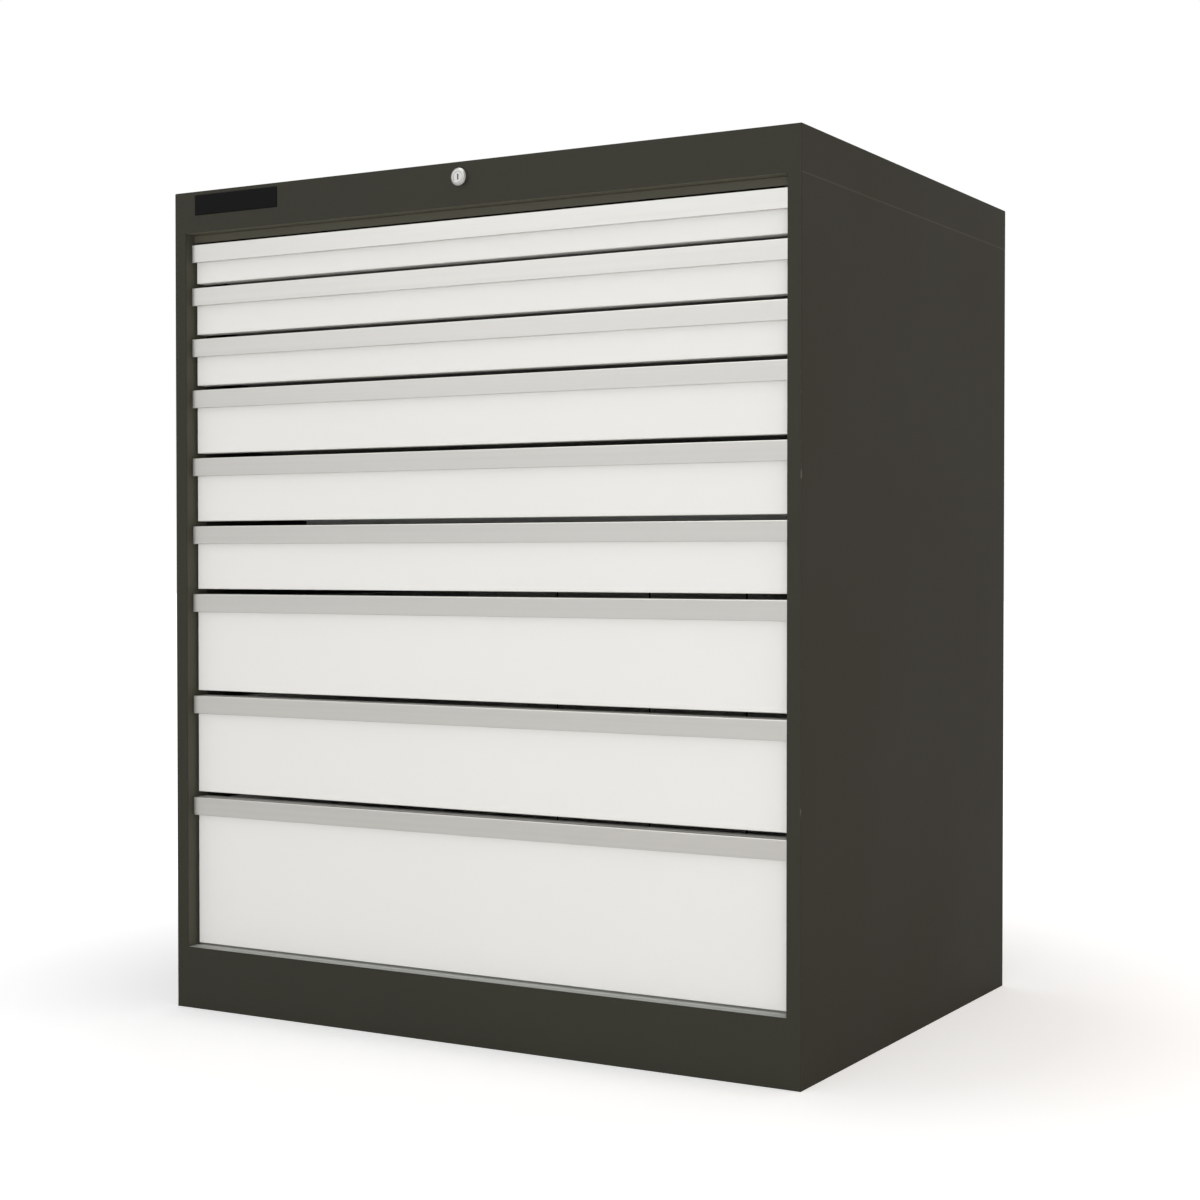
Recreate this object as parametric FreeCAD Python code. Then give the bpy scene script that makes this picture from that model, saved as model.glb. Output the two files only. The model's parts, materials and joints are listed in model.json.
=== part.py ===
import FreeCAD, Part
import math
import os

# Heavy-duty drawer cabinet: a folded steel case with nine drawers of graded height.
# Each drawer runs out in full on roller carriages, and one key locks them all.
# Millimetres. X runs across the front, Y from the front to the back, Z up.
# The origin lies on the floor, at the middle of the case. "Deep" is a distance behind the front plane.

V = FreeCAD.Vector

# Case
case_width = 1010.0
case_depth = 755.0
plinth_height = 90.0
cap_height = 60.0
case_sheet = 1.5
cap_edge_bevel = 1.0
stile_width = 20.0
jamb_depth = 26.0
rear_flange = 25.0
foot_flange = 20.0
cap_flange_front = 22.0
cap_flange_rear = 23.0
head_rail_drop = 11.6
head_rail_reach = 24.0
pan_flange = 20.0
bearer_width = 80.0
bearer_sheet = 2.0
bearer_from_side = 24.0
bearer_from_front = 30.0
bearer_from_back = 22.0
anchor_hole_diameter = 13.0
anchor_spacing_y = 600.0
cut_margin = 1.0

# Drawers, from the top one down: the height that each takes in the case
drawer_heights = [75.0, 75.0, 75.0, 100.0, 100.0, 100.0, 150.0, 150.0, 225.0]
drawer_travel = 650.0
front_setback = 20.0
front_pan_depth = 20.0
front_sheet = 1.2
front_lip = 12.0
front_side_gap = 4.0
front_gap_below = 3.5
front_gap_above = 4.0
handle_height = 26.4
handle_reach = 10.0
handle_wall = 2.0
handle_foot = 10.0
handle_edge_bevel = 0.6
tray_sheet = 1.2
tray_length = 660.0
tray_lift = 8.0
tray_drop = 3.0
tray_hem = 8.0
tray_rib_height = 6.0
tray_rib_width = 40.0
divider_slot_width = 3.0
divider_slots = 4
divider_slot_margin = 12.0

# Telescopic runners
rail_sheet = 2.0
rail_lift = 12.0
rail_start = 64.0
rail_end_gap = 7.0
tray_rail_start = 50.0
roller_diameter = 25.5
roller_width = 11.0
roller_sides = 12
roller_play = 0.25
roller_side_gap = 2.4
runner_gap = 1.0
runner_end_margin = 2.0
carriage_sheet = 3.0
carriage_inset = 2.0
carriage_edge = 0.5
post_depth = 60.0
post_sheet = 2.0
hook_width = 12.0
hook_height = 6.0
hook_reach = 5.0
hook_play = 0.5

# Central lock
lock_above_seam = 38.4
barrel_flange_diameter = 24.5
barrel_flange_height = 7.0
barrel_diameter = 19.0
barrel_depth = 25.0
barrel_hole_play = 0.2
nut_across_flats = 27.0
nut_height = 5.0
plug_diameter = 14.0
plug_running_play = 0.05
plug_recess = 0.4
plug_tail = 3.0
keyway_width = 2.2
keyway_height = 8.0
keyway_depth = 3.0
spigot_size = 7.0
spigot_nut_height = 2.0
spigot_nut_across_flats = 8.0
lock_turn = 90.0
cam_radius = 15.0
cam_sheet = 3.0
cam_hub_diameter = 16.0
link_pin_diameter = 5.0
link_boss_diameter = 9.0
link_play = 0.6
link_pin_overrun = 1.0
rod_gap = 2.0
rod_sheet = 3.0
rod_height = 10.0
rod_end_width = 18.0
rod_rim = 2.4
rod_guide_spacing = 300.0
rod_guide_width = 20.0
rod_guide_sheet = 2.0
rod_guide_play = 0.5
rod_back_gap = 1.2
crank_sheet = 3.0
crank_output_radius = 10.0
crank_pivot_diameter = 5.0
crank_pivot_play = 0.05
crank_hub_diameter = 12.0
crank_nut_across_flats = 8.0
crank_nut_height = 2.0
crank_axial_play = 0.3
crank_bracket_width = 26.0
crank_bracket_sheet = 2.5
crank_bracket_chin = 6.0
crank_bracket_foot = 14.0
bar_deep = 48.0
bar_sheet = 3.0
bar_width = 12.0
bar_side_gap = 2.0
bar_rim = 3.5
bar_tail = 10.0
tab_reach = 10.0
lug_height = 8.0
lug_length = 8.0
lug_gap = 4.0
lug_side_play = 4.0
lock_play = 2.0
guide_neck_size = 5.0
guide_neck_play = 0.3
guide_head_width = 9.0
guide_head_height = 1.5
guide_face_play = 0.7
guide_height = 16.0
guide_sheet = 2.0
guide_foot = 8.0
guided_drawers = [1, 5, 8]

# Places that follow from the sizes above
front = -case_depth / 2
half_width = case_width / 2
inner_half = half_width - case_sheet
opening_half = half_width - stile_width
seam = plinth_height + sum(drawer_heights)
case_height = seam + cap_height
back_panel_deep = case_depth - 2 * case_sheet

rail_height = roller_diameter + 2 * (roller_play + rail_sheet)
rail_end = back_panel_deep - rail_end_gap
rail_inside = opening_half - rail_sheet
rail_tip = rail_inside - roller_side_gap - roller_width + runner_gap
carriage_outer = rail_tip - runner_gap
carriage_inner = carriage_outer - carriage_sheet
tray_rail_tip = carriage_inner - runner_gap
tray_rail_inside = carriage_inner - roller_width - roller_side_gap
tray_outer = tray_rail_inside - rail_sheet
tray_inner = tray_outer - tray_sheet

front_half = opening_half - front_side_gap
tray_front = front_setback + front_pan_depth
tray_back = tray_front + tray_length

lug_lift = rail_lift + rail_height + lug_gap
bar_outer = opening_half - bar_side_gap
bar_inner = bar_outer - bar_width
bar_middle = bar_outer - bar_width / 2
tab_end = bar_inner - tab_reach
lug_deep = bar_deep + bar_sheet + lock_play

half_turn = math.radians(lock_turn / 2)
lock_z = seam + lock_above_seam
plug_end = barrel_depth + plug_tail
cam_back = plug_end + cam_sheet
rod_deep = cam_back + rod_gap
rod_travel = 2 * cam_radius * math.sin(half_turn)
rod_z = lock_z - cam_radius * (1 + math.cos(half_turn)) / 2
rod_slot_rise = cam_radius * (1 - math.cos(half_turn))
crank_deep = rod_deep + rod_sheet + rod_back_gap + crank_bracket_sheet + crank_axial_play
bar_travel = 2 * crank_output_radius * math.sin(half_turn)
bar_slot_run = crank_output_radius * (1 - math.cos(half_turn))
crank_x = bar_middle - crank_output_radius * (1 + math.cos(half_turn)) / 2


def block(x, y, z):
    """A box between the low and high limits of x, of y as a distance behind the front plane, and of z."""
    low = V(x[0], front + y[0], z[0])
    return Part.makeBox(x[1] - x[0], y[1] - y[0], z[1] - z[0], low)


def rod(diameter, x, z, deep):
    """A round bar along Y between two distances behind the front plane."""
    return Part.makeCylinder(diameter / 2, deep[1] - deep[0], V(x, front + deep[0], z), V(0, 1, 0))


def hexagon(across_flats, x, z, deep):
    """A hexagon nut without its hole, with its axis along Y."""
    radius = across_flats / 2 / math.cos(math.pi / 6)
    corners = []
    for step in range(7):
        angle = step * math.pi / 3
        corners.append(V(x + radius * math.cos(angle), front + deep[0], z + radius * math.sin(angle)))
    return Part.Face(Part.makePolygon(corners)).extrude(V(0, deep[1] - deep[0], 0))


def joined(shapes):
    """Shapes that touch, as one solid without the edges between them."""
    return shapes[0].fuse(shapes[1:]).removeSplitter()


def group(shapes):
    """Separate solids in one node."""
    return Part.makeCompound(shapes)


def mirrored(shape):
    """The left-hand twin of a right-hand piece."""
    return shape.mirror(V(0, 0, 0), V(1, 0, 0))


def folded_section(points, sheet, soft):
    """The section of a folded sheet, flat in XY.

    points are its outer side in order, with the metal on their left and each turn to the left.
    A soft section is rounded outside each fold by its own thickness.
    """
    outer = [V(a, b, 0) for a, b in points]
    lefts = []
    for here, there in zip(outer, outer[1:]):
        along = (there - here).normalize()
        lefts.append(V(-along.y, along.x, 0) * sheet)
    inner = [outer[0] + lefts[0]]
    for spot, one, two in zip(outer[1:], lefts, lefts[1:]):
        inner.append(spot + one + two)
    inner.append(outer[-1] + lefts[-1])
    face = Part.Face(Part.makePolygon(outer + inner[::-1] + outer[:1]))
    if not soft:
        return face
    edges = []
    start = outer[0]
    for spot, one, two in zip(outer[1:], lefts, lefts[1:]):
        centre = spot + one + two
        middle = centre - (one + two).normalize() * sheet
        edges.append(Part.LineSegment(start, centre - one).toShape())
        edges.append(Part.Arc(centre - one, middle, centre - two).toShape())
        start = centre - two
    edges.append(Part.LineSegment(start, outer[-1]).toShape())
    for here, there in zip([outer[-1]] + inner[::-1], inner[::-1] + [outer[0]]):
        edges.append(Part.LineSegment(here, there).toShape())
    return Part.Face(Part.Wire(edges))


def standing_fold(points, sheet, soft, z):
    """A folded sheet that runs up, from a section in x and distance behind the front plane."""
    face = folded_section([(x, front + deep) for x, deep in points], sheet, soft)
    face.translate(V(0, 0, z[0]))
    return face.extrude(V(0, 0, z[1] - z[0]))


def cross_fold(points, sheet, soft, x):
    """A folded sheet that runs across, from a section in distance behind the front plane and z."""
    face = folded_section([(front + deep, z) for deep, z in points], sheet, soft)
    face.rotate(V(0, 0, 0), V(1, 1, 1), 120)
    face.translate(V(x[0], 0, 0))
    return face.extrude(V(x[1] - x[0], 0, 0))


def link(first, first_diameter, second, second_diameter, deep):
    """A flat link with round ends about two points (x, z), between two distances behind the front."""
    a = V(first[0], front + deep[0], first[1])
    b = V(second[0], front + deep[0], second[1])
    along = (b - a).normalize()
    aside = V(-along.z, 0, along.x)
    ra = first_diameter / 2
    rb = second_diameter / 2
    sides = [
        Part.LineSegment(a + aside * ra, b + aside * rb).toShape(),
        Part.Arc(b + aside * rb, b + along * rb, b - aside * rb).toShape(),
        Part.LineSegment(b - aside * rb, a - aside * ra).toShape(),
        Part.Arc(a - aside * ra, a - along * ra, a + aside * ra).toShape(),
    ]
    return Part.Face(Part.Wire(sides)).extrude(V(0, deep[1] - deep[0], 0))


def slot_floor(number):
    """The height of the floor of one drawer's place in the case."""
    return seam - sum(drawer_heights[:number])


def front_top(number):
    """The top of one drawer's front: the first one ends under the head rail."""
    ceiling = slot_floor(number) + drawer_heights[number - 1]
    if number == 1:
        ceiling -= head_rail_drop
    return ceiling - front_gap_above


# Case


def side_panel():
    """The right side: side sheet, stile, jamb and rear flange folded from one sheet, with feet."""
    section = [
        (opening_half, jamb_depth),
        (opening_half, 0),
        (half_width, 0),
        (half_width, case_depth),
        (half_width - rear_flange, case_depth),
    ]
    panel = standing_fold(section, case_sheet, True, (0, seam))
    cut_wide = (opening_half - cut_margin, inner_half)
    cut_deep = (-cut_margin, jamb_depth + cut_margin)
    panel = panel.cut(block(cut_wide, cut_deep, (-cut_margin, plinth_height)))
    inside = (opening_half, inner_half)
    top_flange = block(inside, (jamb_depth, back_panel_deep), (seam - case_sheet, seam))
    foot = block((inner_half - foot_flange, inner_half), (case_sheet, back_panel_deep), (0, case_sheet))
    return joined([panel, top_flange, foot])


def back_panel():
    """The back sheet, inside the rear flanges, with a flange at its top for the cap."""
    sheet = block((-inner_half, inner_half), (back_panel_deep, back_panel_deep + case_sheet), (0, seam))
    flange_start = case_depth - case_sheet - cap_flange_rear
    flange = block(
        (-opening_half, opening_half), (flange_start, back_panel_deep), (seam - case_sheet, seam)
    )
    return joined([sheet, flange])


def top_cap():
    """The lid, a flat top with four skirts, and the four strips welded inside it that sit on the case."""
    body = block((-half_width, half_width), (0, case_depth), (seam, case_height))
    blunt = [edge for edge in body.Edges if edge.CenterOfMass.z > seam + cap_height / 4]
    body = body.makeChamfer(cap_edge_bevel, blunt)
    inside_deep = (case_sheet, back_panel_deep + case_sheet)
    lid = body.cut(block((-inner_half, inner_half), inside_deep, (seam, case_height - case_sheet)))
    hole_deep = (-cut_margin, case_sheet + cut_margin)
    lid = lid.cut(rod(barrel_diameter + 2 * barrel_hole_play, 0, lock_z, hole_deep))
    strip = (seam, seam + case_sheet)
    front_strip = block((-opening_half, opening_half), (inside_deep[0], cap_flange_front), strip)
    rear_deep = (inside_deep[1] - cap_flange_rear, inside_deep[1])
    rear_strip = block((-opening_half, opening_half), rear_deep, strip)
    side_strip = block((opening_half, inner_half), inside_deep, strip)
    return group([lid, front_strip, rear_strip, side_strip, mirrored(side_strip)])


def head_rail():
    """The angle above the first drawer, level with the drawer fronts."""
    section = [
        (front_setback + head_rail_reach, seam),
        (front_setback, seam),
        (front_setback, seam - head_rail_drop),
    ]
    return cross_fold(section, case_sheet, True, (-opening_half, opening_half))


def front_plinth():
    """The front of the base, with a flange along the floor."""
    section = [(0, plinth_height), (0, 0), (foot_flange, 0)]
    plinth = cross_fold(section, case_sheet, True, (-inner_half, inner_half))
    for side in (-1, 1):
        corner = sorted((side * (inner_half - foot_flange), side * (inner_half + cut_margin)))
        corner_deep = (case_sheet, foot_flange + cut_margin)
        plinth = plinth.cut(block(corner, corner_deep, (-cut_margin, case_sheet)))
    return plinth


def floor_pan():
    """The floor under the lowest drawer, folded down on all four sides."""
    limits = (plinth_height - pan_flange, plinth_height)
    pan = block((-inner_half, inner_half), (case_sheet, back_panel_deep), limits)
    hollow = block(
        (-inner_half + case_sheet, inner_half - case_sheet),
        (2 * case_sheet, back_panel_deep - case_sheet),
        (limits[0], plinth_height - case_sheet),
    )
    return pan.cut(hollow)


def base_bearers():
    """Two channels under the floor pan that carry the load, with holes for anchor bolts."""
    outer = inner_half - bearer_from_side
    top = plinth_height - case_sheet
    reach = (bearer_from_front, back_panel_deep - bearer_from_back)
    channel = block((outer - bearer_width, outer), reach, (0, top))
    hollow = block(
        (outer - bearer_width + bearer_sheet, outer - bearer_sheet), reach, (bearer_sheet, top)
    )
    channel = channel.cut(hollow)
    for side in (-1, 1):
        spot = V(outer - bearer_width / 2, side * anchor_spacing_y / 2, 0)
        channel = channel.cut(Part.makeCylinder(anchor_hole_diameter / 2, bearer_sheet, spot))
    return group([channel, mirrored(channel)])


def hook_places():
    """The middle of each rail's front and rear hook, as a distance behind the front plane."""
    front_post_end = jamb_depth + post_depth
    return (rail_start + front_post_end) / 2, (back_panel_deep - post_depth + rail_end) / 2


def hook_z(number):
    """The height of the middle of one drawer's rail."""
    return slot_floor(number) + rail_lift + rail_height / 2


def post(start, hook_deep):
    """A right-hand upright, a channel against the side sheet, slotted for each rail's hook."""
    section = [
        (inner_half, start + post_depth),
        (opening_half, start + post_depth),
        (opening_half, start),
        (inner_half, start),
    ]
    upright = standing_fold(section, post_sheet, False, (plinth_height, seam - case_sheet))
    half_slot = (hook_width / 2 + hook_play, hook_height / 2 + hook_play)
    slots = []
    for number in range(1, len(drawer_heights) + 1):
        middle = hook_z(number)
        slots.append(
            block(
                (opening_half - cut_margin, opening_half + post_sheet + cut_margin),
                (hook_deep - half_slot[0], hook_deep + half_slot[0]),
                (middle - half_slot[1], middle + half_slot[1]),
            )
        )
    return upright.cut(slots)


def channel_rail(web, tip, deep, floor):
    """A rail of channel section: web is its two faces in x, tip the x of its open side."""
    shell = block(sorted((web[0], tip)), deep, (floor, floor + rail_height))
    track = block(sorted((web[1], tip)), deep, (floor + rail_sheet, floor + rail_height - rail_sheet))
    return shell.cut(track)


def fixed_rails():
    """The right-hand rails, one for each drawer, hooked into the front and rear posts."""
    rails = []
    for number in range(1, len(drawer_heights) + 1):
        floor = slot_floor(number) + rail_lift
        rail = channel_rail((opening_half, rail_inside), rail_tip, (rail_start, rail_end), floor)
        middle = hook_z(number)
        hooks = [
            block(
                (opening_half, opening_half + hook_reach),
                (deep - hook_width / 2, deep + hook_width / 2),
                (middle - hook_height / 2, middle + hook_height / 2),
            )
            for deep in hook_places()
        ]
        rails.append(joined([rail] + hooks))
    return rails


# Drawers


def drawer_front(number):
    """A front folded from sheet: face, top and bottom flanges with lips, and closed ends."""
    bottom = slot_floor(number) + front_gap_below
    top = front_top(number)
    section = [
        (tray_front, top - front_lip),
        (tray_front, top),
        (front_setback, top),
        (front_setback, bottom),
        (tray_front, bottom),
        (tray_front, bottom + front_lip),
    ]
    skin = cross_fold(section, front_sheet, False, (-front_half, front_half))
    ends = [
        block(
            sorted((side * front_half, side * (front_half - front_sheet))),
            (front_setback + front_sheet, tray_front),
            (bottom + front_sheet, top - front_sheet),
        )
        for side in (-1, 1)
    ]
    return joined([skin] + ends)


def drawer_handle(number):
    """A full-width pull of extruded section: a foot on the front, a web and a face with a finger gap."""
    top = front_top(number)
    face = front_setback - handle_reach
    foot = front_setback - handle_wall
    lip = face + handle_wall
    outline = [
        (front_setback, top - handle_foot),
        (front_setback, top),
        (face + handle_edge_bevel, top),
        (face, top - handle_edge_bevel),
        (face, top - handle_height + handle_edge_bevel),
        (face + handle_edge_bevel, top - handle_height),
        (lip - handle_edge_bevel, top - handle_height),
        (lip, top - handle_height + handle_edge_bevel),
        (lip, top - handle_wall),
        (foot, top - handle_wall),
        (foot, top - handle_foot),
        (front_setback, top - handle_foot),
    ]
    section = Part.makePolygon([V(-front_half, front + deep, z) for deep, z in outline])
    return Part.Face(section).extrude(V(2 * front_half, 0, 0))


def tray_box(number):
    """The open box of a tray, with a hem along its sides."""
    floor = slot_floor(number) + tray_lift
    rim = front_top(number) - tray_drop
    deep = (tray_front, tray_back)
    box = block((-tray_outer, tray_outer), deep, (floor, rim))
    inside_deep = (tray_front + tray_sheet, tray_back - tray_sheet)
    hollow = block((-tray_inner, tray_inner), inside_deep, (floor + tray_sheet, rim))
    hem = block((tray_outer, tray_outer + tray_hem), deep, (rim - tray_sheet, rim))
    return joined([box.cut(hollow), hem, mirrored(hem)])


def tray_ribs(number):
    """Two folded ribs under the floor of a tray."""
    floor = slot_floor(number) + tray_lift
    ribs = []
    for share in (1 / 3, 2 / 3):
        middle = tray_front + share * tray_length
        across = (middle - tray_rib_width / 2, middle + tray_rib_width / 2)
        rib = block((-tray_inner, tray_inner), across, (floor - tray_rib_height, floor))
        inside = block(
            (-tray_inner, tray_inner),
            (across[0] + tray_sheet, across[1] - tray_sheet),
            (floor - tray_rib_height + tray_sheet, floor),
        )
        ribs.append(rib.cut(inside))
    return ribs


def divider_cuts(number):
    """The slots down from the rim of a tray's front and back walls that its partitions drop into."""
    low = slot_floor(number) + tray_lift + divider_slot_margin
    high = front_top(number) - tray_drop + cut_margin
    pitch = 2 * tray_inner / (divider_slots + 1)
    cuts = []
    for place in range(1, divider_slots + 1):
        x = place * pitch - tray_inner
        across = (x - divider_slot_width / 2, x + divider_slot_width / 2)
        front_cut = (tray_front - cut_margin, tray_front + tray_sheet + cut_margin)
        back_cut = (tray_back - tray_sheet - cut_margin, tray_back + cut_margin)
        cuts.append(block(across, front_cut, (low, high)))
        cuts.append(block(across, back_cut, (low, high)))
    return cuts


def drawer_tray(number):
    """A tray, and welded to it its ribs, its runner channels and the lug that the lock bar holds."""
    rail_floor = slot_floor(number) + rail_lift
    web = (tray_outer, tray_rail_inside)
    rail = channel_rail(web, tray_rail_tip, (tray_rail_start, tray_back), rail_floor)
    lug_floor = slot_floor(number) + lug_lift
    lug = block(
        (tray_outer, bar_inner - lug_side_play),
        (lug_deep, lug_deep + lug_length),
        (lug_floor, lug_floor + lug_height),
    )
    box = tray_box(number).cut(divider_cuts(number))
    return group([box, rail, mirrored(rail), lug] + tray_ribs(number))


def roller(start, run, deep, z):
    """A roller on an axle along X, with enough flat sides to pass for round."""
    radius = roller_diameter / 2
    rim = []
    for step in range(roller_sides + 1):
        angle = 2 * math.pi * (step + 0.5) / roller_sides
        rim.append(V(start, front + deep + radius * math.cos(angle), z + radius * math.sin(angle)))
    return Part.Face(Part.makePolygon(rim)).extrude(V(run, 0, 0))


def drawer_carriages(number):
    """The pair of members between case and tray, each with two rollers in either channel."""
    floor = slot_floor(number) + rail_lift
    start = rail_start + carriage_inset
    end = rail_end - carriage_inset
    height = (floor + carriage_edge, floor + rail_height - carriage_edge)
    plate = block((carriage_inner, carriage_outer), (start, end), height)
    half_travel = drawer_travel / 2
    reach = roller_diameter / 2 + runner_end_margin
    middle = floor + rail_height / 2
    pieces = [plate]
    for deep in (rail_start + half_travel + reach, end - reach):
        pieces.append(roller(carriage_outer, roller_width, deep, middle))
    for deep in (start + reach, tray_back - half_travel - reach):
        pieces.append(roller(carriage_inner, -roller_width, deep, middle))
    return group(pieces + [mirrored(piece) for piece in pieces])


# Central lock


def lock_barrel():
    """The fixed barrel with its round flange in front of the cap."""
    flange = rod(barrel_flange_diameter, 0, lock_z, (-barrel_flange_height, 0))
    body = joined([flange, rod(barrel_diameter, 0, lock_z, (0, barrel_depth))])
    bore = plug_diameter + 2 * plug_running_play
    return body.cut(rod(bore, 0, lock_z, (-barrel_flange_height, barrel_depth)))


def lock_nut():
    """The hexagon nut that draws the barrel against the cap."""
    deep = (case_sheet, case_sheet + nut_height)
    return hexagon(nut_across_flats, 0, lock_z, deep).cut(rod(barrel_diameter, 0, lock_z, deep))


def lock_plug():
    """The key plug: keyway in front, square spigot and nut behind for the cam."""
    face = -barrel_flange_height + plug_recess
    plug = rod(plug_diameter, 0, lock_z, (face, plug_end))
    keyway = block(
        (-keyway_width / 2, keyway_width / 2),
        (face, face + keyway_depth),
        (lock_z - keyway_height / 2, lock_z + keyway_height / 2),
    )
    half = spigot_size / 2
    spigot = block((-half, half), (plug_end, cam_back), (lock_z - half, lock_z + half))
    nut = hexagon(spigot_nut_across_flats, 0, lock_z, (cam_back, cam_back + spigot_nut_height))
    return joined([plug.cut(keyway), spigot, nut])


def swung(middle, radius, angle):
    """The place (x, z) of a pin that hangs at a radius, turned clockwise as seen from the front."""
    return middle[0] - radius * math.sin(angle), middle[1] - radius * math.cos(angle)


def lock_cam():
    """The arm on the plug, whose pin drives the transfer rod."""
    pin_place = swung((0, lock_z), cam_radius, -half_turn)
    arm = link((0, lock_z), cam_hub_diameter, pin_place, link_boss_diameter, (plug_end, cam_back))
    half = spigot_size / 2
    arm = arm.cut(block((-half, half), (plug_end, cam_back), (lock_z - half, lock_z + half)))
    pin = rod(link_pin_diameter, *pin_place, (cam_back, rod_deep + rod_sheet + link_pin_overrun))
    return joined([arm, pin])


def rod_slot(x):
    """The upright slot for a pin in the transfer rod, about the pin's place at rest."""
    half_run = link_pin_diameter / 2 + link_play
    half_rise = (rod_slot_rise + link_pin_diameter) / 2 + link_play
    return block(
        (x - half_run, x + half_run), (rod_deep, rod_deep + rod_sheet), (rod_z - half_rise, rod_z + half_rise)
    )


def transfer_rod():
    """The flat rod from the cam to the bell crank, with a slotted end on each pin."""
    cam_pin = rod_travel / 2
    crank_pin = crank_x + rod_travel / 2
    deep = (rod_deep, rod_deep + rod_sheet)
    half_end = (rod_slot_rise + link_pin_diameter) / 2 + link_play + rod_rim
    pieces = [block((cam_pin, crank_pin), deep, (rod_z - rod_height / 2, rod_z + rod_height / 2))]
    for x in (cam_pin, crank_pin):
        pieces.append(
            block((x - rod_end_width / 2, x + rod_end_width / 2), deep, (rod_z - half_end, rod_z + half_end))
        )
    return joined(pieces).cut([rod_slot(cam_pin), rod_slot(crank_pin)])


def transfer_rod_guides():
    """Two brackets under the top that the transfer rod slides through."""
    guides = []
    roof = case_height - case_sheet
    deep_middle = rod_deep + rod_sheet / 2
    deep = (deep_middle - rod_guide_width / 2, deep_middle + rod_guide_width / 2)
    window_deep = (rod_deep - rod_guide_play, rod_deep + rod_sheet + rod_guide_play)
    half_window = rod_height / 2 + rod_guide_play
    middle = crank_x / 2
    for x in (middle - rod_guide_spacing / 2, middle + rod_guide_spacing / 2):
        bottom = rod_z - half_window - rod_rim
        plate = block((x, x + rod_guide_sheet), deep, (bottom, roof))
        foot = block((x, x + rod_guide_width), deep, (roof - rod_guide_sheet, roof))
        window = block((x, x + rod_guide_sheet), window_deep, (rod_z - half_window, rod_z + half_window))
        guides.append(joined([plate, foot]).cut(window))
    return group(guides)


def bell_crank():
    """The crank that turns the rod's stroke into the bar's: one arm down to the rod, one out to the bar."""
    pivot = (crank_x, lock_z)
    deep = (crank_deep, crank_deep + crank_sheet)
    rod_pin = swung(pivot, cam_radius, -half_turn)
    bar_pin = swung(pivot, crank_output_radius, -half_turn - math.pi / 2)
    arms = [
        link(pivot, crank_hub_diameter, rod_pin, link_boss_diameter, deep),
        link(pivot, crank_hub_diameter, bar_pin, link_boss_diameter, deep),
        rod(link_pin_diameter, *rod_pin, (rod_deep - link_pin_overrun, deep[0])),
        rod(link_pin_diameter, *bar_pin, (deep[1], bar_deep + bar_sheet + link_pin_overrun)),
    ]
    bore = crank_pivot_diameter + 2 * crank_pivot_play
    return joined(arms).cut(rod(bore, *pivot, deep))


def crank_bracket():
    """The bracket behind the cap's front skirt, with the pivot that the bell crank turns on."""
    half = crank_bracket_width / 2
    across = (crank_x - half, crank_x + half)
    roof = case_height - case_sheet
    back = crank_deep - crank_axial_play
    plate = block(across, (back - crank_bracket_sheet, back), (lock_z - crank_bracket_chin, roof))
    arm = block(across, (case_sheet, back), (roof - crank_bracket_sheet, roof))
    foot = block(across, (case_sheet, case_sheet + crank_bracket_sheet), (roof - crank_bracket_foot, roof))
    nut_deep = crank_deep + crank_sheet + crank_axial_play
    pivot = rod(crank_pivot_diameter, crank_x, lock_z, (back, nut_deep))
    nut = hexagon(crank_nut_across_flats, crank_x, lock_z, (nut_deep, nut_deep + crank_nut_height))
    return joined([plate, arm, foot, pivot, nut])


def lock_bar():
    """The upright bar at the right, at rest in its unlocked place, and the tabs welded to it, one a drawer."""
    deep = (bar_deep, bar_deep + bar_sheet)
    pin_z = lock_z + crank_output_radius * math.sin(half_turn)
    half_rise = link_pin_diameter / 2 + link_play
    half_run = (bar_slot_run + link_pin_diameter) / 2 + link_play
    lowest = slot_floor(len(drawer_heights)) + lug_lift + bar_travel
    bar = block((bar_inner, bar_outer), deep, (lowest - bar_tail, pin_z + half_rise + bar_rim))
    tabs = []
    for number in range(1, len(drawer_heights) + 1):
        tab_floor = slot_floor(number) + lug_lift + bar_travel
        tabs.append(block((tab_end, bar_inner), deep, (tab_floor, tab_floor + lug_height)))
    slots = [
        block((bar_middle - half_run, bar_middle + half_run), deep, (pin_z - half_rise, pin_z + half_rise))
    ]
    half_neck = guide_neck_size / 2 + guide_neck_play
    for number in guided_drawers:
        low = hook_z(number) - half_neck
        high = hook_z(number) + bar_travel + half_neck
        slots.append(block((bar_middle - half_neck, bar_middle + half_neck), deep, (low, high)))
    return group([bar.cut(slots)] + tabs)


def lock_bar_guides():
    """Brackets on the front right post, each with a headed lug through a slot of the lock bar."""
    guides = []
    plate_start = bar_deep + bar_sheet + guide_face_play
    head_back = bar_deep - guide_face_play
    half_neck = guide_neck_size / 2
    half_head = guide_head_width / 2
    for number in guided_drawers:
        z = hook_z(number)
        height = (z - guide_height / 2, z + guide_height / 2)
        plate = block((bar_inner, opening_half), (plate_start, plate_start + guide_sheet), height)
        foot_deep = (plate_start, plate_start + guide_foot)
        foot = block((opening_half - guide_sheet, opening_half), foot_deep, height)
        neck_height = (z - half_neck, z + half_neck)
        neck = block((bar_middle - half_neck, bar_middle + half_neck), (head_back, plate_start), neck_height)
        head_deep = (head_back - guide_head_height, head_back)
        head = block((bar_middle - half_head, bar_middle + half_head), head_deep, neck_height)
        guides.append(joined([plate, foot, neck, head]))
    return group(guides)


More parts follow.
